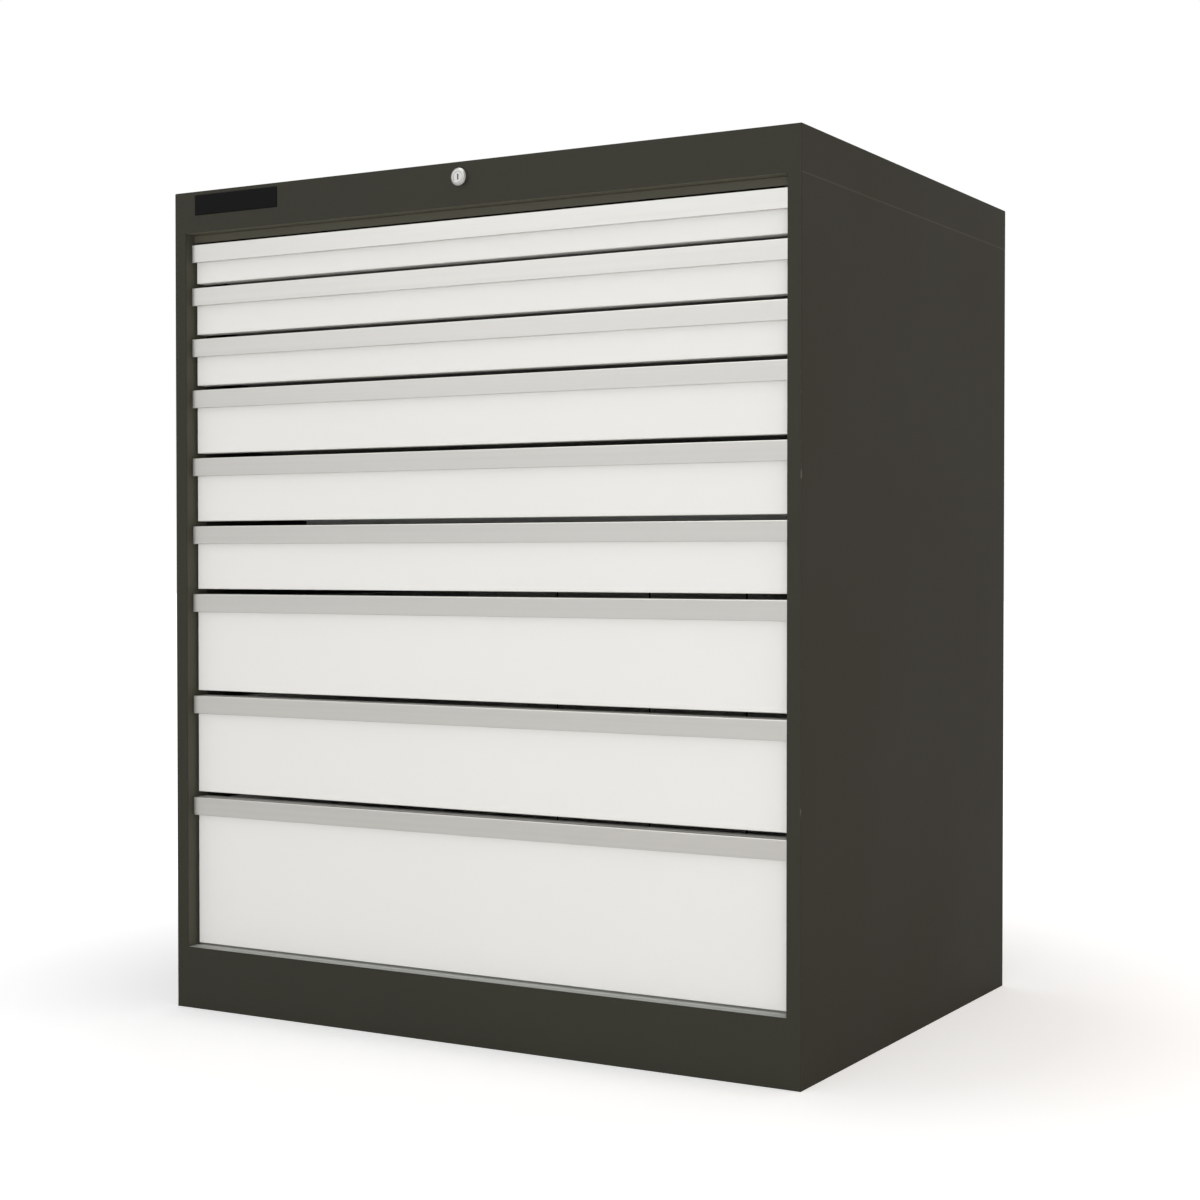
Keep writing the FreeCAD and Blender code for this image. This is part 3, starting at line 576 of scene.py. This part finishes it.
# %% Helper: the faces of a grid
def closed_faces(rows, ring, start):
    """The faces of one grid, turned outwards, in a mesh where its points begin at number start.

    Point (i, j) is joined to (i, j+1) and (i+1, j). A closed surface faces outwards where its volume,
    the sum of a . (b x c) / 6 over its triangles (a, b, c), is positive. Otherwise each face is turned.
    """
    count, around = rows.shape[:2]
    index = np.arange(count * around).reshape(count, around)
    there = np.roll(index, -1, axis=0)
    quads = np.stack([index, np.roll(index, -1, axis=1), np.roll(there, -1, axis=1), there], axis=-1)
    quads = quads[: count if ring else -1].reshape(-1, 4)
    ends = [] if ring else [index[0][::-1], index[-1]]
    fans = [quads[:, [0, 1, 2]], quads[:, [0, 2, 3]]]
    fans += [np.column_stack([np.full(around - 2, end[0]), end[1:-1], end[2:]]) for end in ends]
    a, b, c = rows.reshape(-1, 3)[np.concatenate(fans)].transpose(1, 0, 2)
    way = -1 if np.einsum("ij,ij->", a, np.cross(b, c)) < 0 else 1
    return (quads + start)[:, ::way].tolist() + [(end + start)[::way].tolist() for end in ends]


trial = np.array([[(0, 0, 0), (1, 0, 0), (0, 1, 0)], [(0, 0, 1), (1, 0, 1), (0, 1, 1)]], float)
print("a wedge from two sections has", len(closed_faces(trial, False, 0)), "faces")

# %% [markdown]
# A piece is one or more such grids in one mesh. It belongs to a body, because a body is what a joint
# moves, and it takes a material slot, which holds its finish. The helper does all of this at once,
# so that no piece is left behind when its drawer opens.

# %% Helper: a piece on its body
def solid(name, grids, material, body):
    """One piece of closed grids, each with a word on whether it is a ring: their points one after another."""
    points, faces = [], []
    for rows, ring in grids:
        faces += closed_faces(rows, ring, len(points))
        points += rows.reshape(-1, 3).tolist()
    mesh = bpy.data.meshes.new(name)
    mesh.from_pydata(points, [], faces)
    mesh.materials.append(material)
    made = bpy.data.objects.new(name, mesh)
    bpy.context.scene.collection.objects.link(made)
    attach(made, body)
    return made


# %% [markdown]
# Folded sheet and extruded metal have no sharp corner anywhere, and the small arcs are what the eye
# reads as metal. A Bevel modifier rounds all edges alike. This helper rounds each corner of an outline
# by its own radius, and all of them at once.

# %% Helper: an outline with round corners
def rounded_section(corners, radii, steps=4):
    """A closed outline with each corner turned into an arc.

    The arc starts and ends one tangent length, radius / tan(half the corner's angle), from the corner.
    Its points are centre + (sin((1 - s) a) * arm + sin(s a) * other) / sin(a), where arm and other go
    from the centre to the two ends, a is the angle between them, and s runs from 0 to 1.
    """
    corners, radii = np.array(corners, float), np.array(radii, float)
    before = np.roll(corners, 1, axis=0) - corners
    after = np.roll(corners, -1, axis=0) - corners
    before /= np.linalg.norm(before, axis=1)[:, None]
    after /= np.linalg.norm(after, axis=1)[:, None]
    half = np.arccos(np.clip((before * after).sum(1), -1, 1)) / 2
    middle = before + after
    middle /= np.linalg.norm(middle, axis=1)[:, None]
    centre = corners + middle * (radii / np.sin(half))[:, None]
    arm = corners + before * (radii / np.tan(half))[:, None] - centre
    other = corners + after * (radii / np.tan(half))[:, None] - centre
    share = np.linspace(0, 1, steps + 1)[None, :, None]
    spread = (np.pi - 2 * half)[:, None, None]
    arcs = np.sin((1 - share) * spread) * arm[:, None] + np.sin(share * spread) * other[:, None]
    return (centre[:, None] + arcs / np.sin(spread)).reshape(-1, 2)


print("a rounded square has", len(rounded_section([(0, 0), (1, 0), (1, 1), (0, 1)], [0.1] * 4)), "points")

# %% [markdown]
# ## Drawer fronts
#
# A front is a shallow pan: a flat face whose four sides are folded back. Each fold leaves a small round
# edge, which is what separates one drawer from the next in the light. The surface is a stack of rounded
# rectangles: they grow along a quarter circle from the face to the sides, run back, and turn in.

# %% Build the nine fronts
FOLD_RADIUS = 0.0018
FOLD_POINTS = 6
FRONT_CORNER = 0.0006
SHEET = 0.0012
LIP = 0.010


def rectangle(inset, y, low, high, corner):
    """A rounded rectangle in the plane y: corners at low + inset and high - inset, in x and z."""
    x0, z0, x1, z1 = low[0] + inset, low[1] + inset, high[0] - inset, high[1] - inset
    outline = rounded_section([(x0, z0), (x1, z0), (x1, z1), (x0, z1)], [corner] * 4, steps=3)
    return np.column_stack([outline[:, 0], np.full(len(outline), y), outline[:, 1]])


def folded_front(number):
    """A pan with round folds: at angle t the fold is inset by r(1 - sin t) and r(1 - cos t) deep."""
    low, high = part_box(f"drawer_{number}_front")
    turn = np.linspace(0, np.pi / 2, FOLD_POINTS)
    back = high.y - low.y
    inside = back - SHEET
    steps = [*zip(FOLD_RADIUS * (1 - np.sin(turn)), FOLD_RADIUS * (1 - np.cos(turn)))]
    steps += [(0, back), (LIP, back), (LIP, inside), (SHEET, inside), (SHEET, SHEET)]
    sides = (low.x, low.z), (high.x, high.z)
    stack = np.array([rectangle(inset, low.y + deep, *sides, FRONT_CORNER) for inset, deep in steps])
    name = f"drawer_{number}_folded_front"
    made = solid(name, [(stack, False)], front_paint, f"drawer_{number}")
    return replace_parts(made, f"drawer_{number}_front")


fronts = [folded_front(number) for number in drawers]
print("fronts", len(fronts), "of", len(fronts[0].data.polygons), "faces")

# %% [markdown]
# ## Pulls
#
# Each pull is one length of extruded aluminium as wide as its drawer: a foot on the front, a short web
# and a face with room behind it for the fingers. The outline is the one from the solid, with every
# corner rounded as a die rounds it, most of all the top one that the hand meets. The ends are sawn.

# %% Build the nine pulls
HANDLE_WALL = 0.002
HANDLE_FOOT = 0.010
FOOT_EDGE = 0.0003
EDGE = 0.0007
TOP_EDGE = 0.0012


def extruded_pull(number):
    """The outline (y, z) carried along x between the ends of the solid."""
    low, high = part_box(f"drawer_{number}_handle")
    face, back, top, bottom = low.y, high.y, high.z, low.z
    lip, foot = face + HANDLE_WALL, back - HANDLE_WALL
    corners = [
        (back, top - HANDLE_FOOT), (back, top), (face, top), (face, bottom),
        (lip, bottom), (lip, top - HANDLE_WALL), (foot, top - HANDLE_WALL), (foot, top - HANDLE_FOOT),
    ]
    outline = rounded_section(corners, [FOOT_EDGE, FOOT_EDGE, TOP_EDGE, EDGE, EDGE, EDGE, EDGE, FOOT_EDGE])
    rows = np.array([np.column_stack([np.full(len(outline), x), outline]) for x in (low.x, high.x)])
    made = solid(f"drawer_{number}_pull", [(rows, False)], aluminium, f"drawer_{number}")
    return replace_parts(made, f"drawer_{number}_handle")


pulls = [extruded_pull(number) for number in drawers]
print("pulls", len(pulls), "each", round(pulls[0].dimensions.x, 4), "m long")

# %% [markdown]
# ## The lock
#
# A cam lock's barrel is turned from a bar, so it is a profile carried round an axis. Its flange has a
# slightly crowned face that falls away to a rounded rim. The bore stays open for the plug. A Screw
# modifier could turn it too, but an array gives the rollers and rivets with the same few lines.

# %% Turn the barrel
BORE_RADIUS = 0.00705
BARREL_RADIUS = 0.0095
CROWN = [(BORE_RADIUS, 0.0004), (0.0078, 0.0), (0.0100, 0.0002)]
RIM_CURVE = [(0.0010, 0.0008), (0.0003, 0.0013), (0.0, 0.0022)]


def turned(profile, centre, axis, steps):
    """A ring about an axis: at angle t, point (r, a) lies at a along it and r cos t, r sin t off it."""
    radius, along = np.array(profile, float).T
    angle = np.linspace(0, 2 * np.pi, steps, endpoint=False)[:, None]
    rows = np.zeros((steps, len(radius), 3))
    first, second = [i for i in range(3) if i != axis]
    rows[:, :, axis] = along
    rows[:, :, first] = centre[first] + np.cos(angle) * radius
    rows[:, :, second] = centre[second] + np.sin(angle) * radius
    return rows


low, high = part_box("lock_barrel")
rim = (high.x - low.x) / 2
profile = [
    *[(radius, low.y + deep) for radius, deep in CROWN],
    *[(rim - inset, low.y + deep) for inset, deep in RIM_CURVE],
    (rim, case_front), (BARREL_RADIUS, case_front), (BARREL_RADIUS, high.y), (BORE_RADIUS, high.y),
]
grid = turned(profile, lock_axis, axis=1, steps=72)
barrel = solid("lock_barrel_turned", [(grid, True)], nickel, "cabinet")
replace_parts(barrel, "lock_barrel")
print("lock barrel of", len(barrel.data.polygons), "faces, rim", round(rim, 5))

# %% [markdown]
# ## Roller carriages
#
# When a drawer is out, its carriages show: a steel plate on each side with four rollers, two towards the
# case and two towards the tray. The solids stand for a roller with a prism of flat sides, so the rollers
# are turned anew. Each separate solid of a node is found from its edges: every point takes the lowest
# number among its neighbours, over and over, until all points of one solid carry the same number.

# %% Find the separate solids of a node
def separate_solids(node):
    """The (low, high) corners of each solid: labels spread as L(p) = min of L(q) over the edges p-q."""
    piece = frame["nodes"][node]
    points = np.zeros(len(piece.data.vertices) * 3)
    piece.data.vertices.foreach_get("co", points)
    matrix = np.array(piece.matrix_world)
    points = points.reshape(-1, 3) @ matrix[:3, :3].T + matrix[:3, 3]
    edges = np.zeros(len(piece.data.edges) * 2, int)
    piece.data.edges.foreach_get("vertices", edges)
    same = np.unique(np.round(points, 6), axis=0, return_inverse=True)[1].ravel()
    ends = same[edges.reshape(-1, 2)]
    label, before = np.arange(same.max() + 1), None
    while before is None or (label != before).any():
        before = label.copy()
        lowest = label[ends].min(axis=1)
        np.minimum.at(label, ends[:, 0], lowest)
        np.minimum.at(label, ends[:, 1], lowest)
    mine = label[same]
    return [(points[mine == k].min(0), points[mine == k].max(0)) for k in np.unique(mine)]


print("solids in a pair of carriages", len(separate_solids("drawer_1_carriages")))

# %% [markdown]
# A roller is a ball bearing with a crowned steel tread. It has a raised rim, a sunk face and the head of
# its axle. Its flat-sided prism has its corners on the true circle, so the radius is the distance from
# the middle of a side, half the prism's height, divided by the cosine of 180/12 degrees.

# %% Shape the rollers and the plates
PRISM_SIDES = 12
ROLLER_WIDTH = 0.011
AXLE_HEAD = [(0.0062, 0.0094), (0.0056, 0.0100), (0.0042, 0.0100), (0.0038, 0.0107), (0.0024, 0.0110)]
TREAD = [
    (0.0012, 0.0008), (0.0003, 0.0014), (0.0, 0.0030), (0.0, 0.0080),
    (0.0003, 0.0096), (0.0012, 0.0104), (0.0026, 0.0104), (0.0032, 0.0094),
]
AXLE_CORE = 0.0005
HUB = 0.0060
PLATE_CORNER = 0.003
PLATE_EDGE = 0.0005
LONGER_THAN_A_ROLLER = 0.1


def roller_grid(low, high, outward_side):
    """A bearing turned about x between its two faces: tread, rim, sunk face and axle head."""
    radius = (high[2] - low[2]) / 2 / math.cos(math.pi / PRISM_SIDES)
    near, far = (low[0], high[0]) if outward_side > 0 else (high[0], low[0])
    shape = [
        (AXLE_CORE, 0.0), (HUB, 0.0), (HUB, TREAD[0][1]), *[(radius - inset, a) for inset, a in TREAD],
        *AXLE_HEAD, (AXLE_CORE, ROLLER_WIDTH),
    ]
    profile = [(r, near + a / ROLLER_WIDTH * (far - near)) for r, a in shape]
    return turned(profile, (low + high) / 2, axis=0, steps=40)


def plate_grid(low, high):
    """A plate with bevelled edges: rounded rectangles in y and z, stacked along x."""
    edge, stack = PLATE_EDGE, []
    for x, inset in ((low[0], edge), (low[0] + edge, 0), (high[0] - edge, 0), (high[0], edge)):
        (a, b), (c, d) = low[1:] + inset, high[1:] - inset
        outline = rounded_section([(a, b), (c, b), (c, d), (a, d)], [PLATE_CORNER] * 4, steps=3)
        stack.append(np.column_stack([np.full(len(outline), x), outline]))
    return np.array(stack)


print("a roller's outline has", len(TREAD) + len(AXLE_HEAD) + 4, "points")

# %% [markdown]
# The long solids of a carriage are its plates and the short ones its rollers. A roller's axle head is on
# the side away from the plate: outwards if the roller lies further out than the plate, else inwards.

# %% Build the carriages
def carriage_pair(number):
    """The plates of both carriages as one piece, which stands for the node, and their rollers as another."""
    found = separate_solids(f"drawer_{number}_carriages")
    plates = [pair for pair in found if pair[1][1] - pair[0][1] > LONGER_THAN_A_ROLLER]
    rollers = [pair for pair in found if pair[1][1] - pair[0][1] <= LONGER_THAN_A_ROLLER]
    plate_x = abs(plates[0][0][0] + plates[0][1][0]) / 2
    body = f"drawer_{number}_carriages"
    grids = [(plate_grid(low, high), False) for low, high in plates]
    made = solid(f"drawer_{number}_carriage_plates", grids, zinc, body)
    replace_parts(made, f"drawer_{number}_carriages")
    grids = []
    for low, high in rollers:
        middle = (low[0] + high[0]) / 2
        outward_side = np.sign(middle) * (1 if abs(middle) > plate_x else -1)
        grids.append((roller_grid(low, high, outward_side), True))
    solid(f"drawer_{number}_rollers", grids, bearing_steel, body)
    return len(plates), len(rollers)


counts = [carriage_pair(number) for number in drawers]
print("plates and rollers", np.sum(counts, axis=0).tolist())

# %% [markdown]
# ## Rivets in the trays
#
# Each front is riveted to the front wall of its tray. From inside the drawer the dome heads show, five
# along the foot of the wall and five along its rim. Each is a small profile turned about y.

# %% Rivet the trays
TRAY_WALL = 0.0012
RIVET_COLUMNS = (-0.405, -0.18, 0.0, 0.18, 0.405)
RIVET_OVER_FOOT = 0.018
RIVET_UNDER_RIM = 0.009
RIVET = [(0.0001, 0.0010), (0.0012, 0.0009), (0.0022, 0.0005), (0.0026, 0.0001), (0.0026, 0.0), (0.0001, 0.0)]

for number in drawers:
    low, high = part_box(f"drawer_{number}_tray")
    profile = [(radius, low.y + TRAY_WALL + out) for radius, out in RIVET]
    heads = [
        (turned(profile, (x, 0.0, z), axis=1, steps=20), True)
        for x in RIVET_COLUMNS
        for z in (low.z + RIVET_OVER_FOOT, high.z - RIVET_UNDER_RIM)
    ]
    solid(f"drawer_{number}_rivets", heads, zinc, f"drawer_{number}")
print("rivets", len(heads), "in each of", len(drawers), "trays")

# %% [markdown]
# ## The plate in the cap
#
# A small black plate sits at the left end of the cap. It is bare. Its paint is smoother and glossier
# than the case's, and a stack of rounded rectangles with a shrinking edge gives it a soft bevel.

# %% Material and mesh: bare plate
PLATE_LOW = (-0.4665, 1.165)
PLATE_HIGH = (-0.3144, 1.1945)
PLATE_ROUND = 0.0015
PLATE_BEVEL = [(0.0012, 0.0010), (0.0004, 0.0008), (0.0, 0.0004), (0.0, 0.0)]

plate_black, tree, shader, place = new_material("plate_black")
grain = place_group(tree, powder_grain, (-4, 1), place, Grain=0.0004, Swell=0.009)
tone = mixed(tree, (-2, 1), grain["Tone"], paint(3, 3, 3), paint(6, 6, 6))
roughness = ranged(tree, (0, 0), grain["Tone"], low=0.38, high=0.44)
relief = bumped(tree, (2, -1), grain["Height"], distance=0.00005, strength=0.15)
dress(tree, shader, Base_Color=tone, Roughness=roughness, Normal=relief, Specular_IOR_Level=0.1)

limits = PLATE_LOW, PLATE_HIGH, PLATE_ROUND
stack = np.array([rectangle(inset, case_front - out, *limits) for inset, out in PLATE_BEVEL])
plate = solid("bare_plate", [(stack, False)], plate_black, "cabinet")
print("plate", [round(side, 4) for side in plate.dimensions])

# %% [markdown]
# ## Camera
#
# The picture was taken from the front right, a little below half the cabinet's height, with a long
# lens. The place and the lens come from the corners of the cabinet in the picture. The camera looks
# along -z of its own, so it is first tipped up by about a right angle and then turned about z.

# %% Camera
SENSOR = 36.0
LENS = 62.72
STANDPOINT = (1.5808, -2.7407, 0.6599)
LOOKS_AT = (0.0, 0.0, 0.6007)


def turned_towards(made, at, towards):
    """Places a lamp or camera: tipped by atan2(level distance, -rise), then turned by atan2(-x, y)."""
    x, y, z = np.array(towards, float) - np.array(at, float)
    made.location = at
    made.rotation_euler = (math.atan2(math.hypot(x, y), -z), 0.0, math.atan2(-x, y))
    bpy.context.scene.collection.objects.link(made)


camera = bpy.data.objects.new("camera", bpy.data.cameras.new("camera"))
turned_towards(camera, STANDPOINT, LOOKS_AT)
camera.data.sensor_width = SENSOR
camera.data.lens = LENS
bpy.context.scene.camera = camera
print("camera tipped", [round(math.degrees(angle), 3) for angle in camera.rotation_euler])

# %% [markdown]
# ## The floor
#
# The cabinet stands in a white studio, on a floor that has no end in the picture. A plain white sheet
# would turn grey far out. This one glows a little for the camera alone, more as it goes away from the
# cabinet, so it melts into the white behind it and keeps a soft shadow close by.

# %% Floor
FLOOR_HALF = 30
FLOOR_WHITE = (0.95, 0.95, 0.95, 1.0)
GLOW_FROM, GLOW_TO = 0.7, 1.5
GLOW_NEAR, GLOW_FAR = 0.4, 0.72

corners = [(x * FLOOR_HALF, y * FLOOR_HALF, 0) for x, y in ((-1, -1), (1, -1), (1, 1), (-1, 1))]
floor_mesh = bpy.data.meshes.new("studio_floor")
floor_mesh.from_pydata(corners, [], [(0, 1, 2, 3)])
floor = bpy.data.objects.new("studio_floor", floor_mesh)
bpy.context.scene.collection.objects.link(floor)

floor_white, tree, shader, place = new_material("floor_white")
away = length(tree, (-2, -1), place)
glow = carried(tree, (0, -1), away, (GLOW_FROM, GLOW_TO), (GLOW_NEAR, GLOW_FAR))
seen = add_node(tree, "LightPath", (0, -2)).outputs["Is Camera Ray"]
glow = worked_out(tree, (2, -1), "MULTIPLY", glow, seen)
dress(tree, shader, Base_Color=FLOOR_WHITE, Roughness=0.9, Specular_IOR_Level=0.0)
dress(tree, shader, Emission_Color=WHITE, Emission_Strength=glow)
floor_mesh.materials.append(floor_white)
print("floor", 2 * FLOOR_HALF, "m across")

# %% [markdown]
# ## The sky
#
# The world is seen as plain white, and it lights the object softly from all round. If it lit as brightly
# as it is seen, everything would be washed out, so what the camera sees and what gives light are two
# backgrounds. Metal mirrors the softer one, which keeps the pulls a shade darker than the fronts.

# %% Sky
WORLD_STRENGTH = 0.55

world = bpy.data.worlds.new("studio")
bpy.context.scene.world = world
world.use_nodes = True
tree = world.node_tree
tree.nodes.clear()
out = add_node(tree, "OutputWorld", (4, 0))
rays = add_node(tree, "LightPath", (-2, 0)).outputs
seen = worked_out(tree, (-1, 0), "MAXIMUM", rays["Is Camera Ray"], rays["Is Transmission Ray"])
white = add_node(tree, "Background", (1, 1), {"Color": WHITE, "Strength": 1.0}).outputs[0]
light = add_node(tree, "Background", (1, -1), {"Color": WHITE, "Strength": WORLD_STRENGTH}).outputs[0]
sky = add_node(tree, "MixShader", (2, 0), {0: seen, 1: light, 2: white}).outputs[0]
feed(tree, out.inputs["Surface"], sky)
print("sky gives", WORLD_STRENGTH, "of what is seen")

# %% [markdown]
# ## Lamps
#
# Six lamps share the work, and each does one thing. The broad fill lamp in front lights fronts, stiles
# and plinth, and a low one by the floor reaches under the pulls: both stay out of reflections. The key
# and top lamps do the opposite: they are seen only in reflections, and give pulls and paint their sheen
# without adding light to matt surfaces. A small shine lamp does the same for the lower pulls. The side
# lamp is warm, as in the picture, where the side of the case is browner than its front.

# %% Lamps
COOL = (0.96, 0.98, 1.0)
DAY = (0.985, 0.99, 1.0)
WARM_WHITE = (1.0, 0.985, 0.95)
AMBER = (1.0, 0.6, 0.2)


def lamp(name, size, power, colour, at, towards, hidden_from=()):
    """A rectangular area lamp, turned towards a point and hidden from some kinds of rays."""
    made = bpy.data.objects.new(name, bpy.data.lights.new(name, "AREA"))
    made.data.shape = "RECTANGLE"
    made.data.size, made.data.size_y = size
    made.data.energy = power
    made.data.color = colour
    turned_towards(made, at, towards)
    for rays in hidden_from:
        setattr(made, "visible_" + rays, False)
    return made


matt, shiny = ["diffuse"], ["glossy"]
lamps = [
    lamp("key_lamp", (4.0, 4.0), 56.0, COOL, (-2.0, -4.0, 3.4), (0.0, 0.0, 0.8), matt),
    lamp("top_lamp", (3.0, 2.0), 40.0, WHITE[:3], (0.0, -1.2, 4.2), (0.0, -0.6, 0.0), matt),
    lamp("fill_lamp", (4.6, 1.2), 75.0, DAY, (1.1, -4.4, 0.55), (0.0, 0.0, 0.75), shiny),
    lamp("low_lamp", (4.0, 1.4), 24.0, DAY, (0.3, -2.9, 0.03), (0.0, -1.6, 0.9), [*shiny, "camera"]),
    lamp("shine_lamp", (3.2, 0.6), 1.8, WARM_WHITE, (-2.0, -3.4, 0.33), (0.0, -0.4, 0.33), matt),
    lamp("side_lamp", (2.0, 2.0), 15.0, AMBER, (3.6, 0.6, 1.4), (0.5, 0.0, 0.6)),
]
bpy.context.scene.view_settings.view_transform = "Standard"
print("lamps", {made.name: made.data.energy for made in lamps})
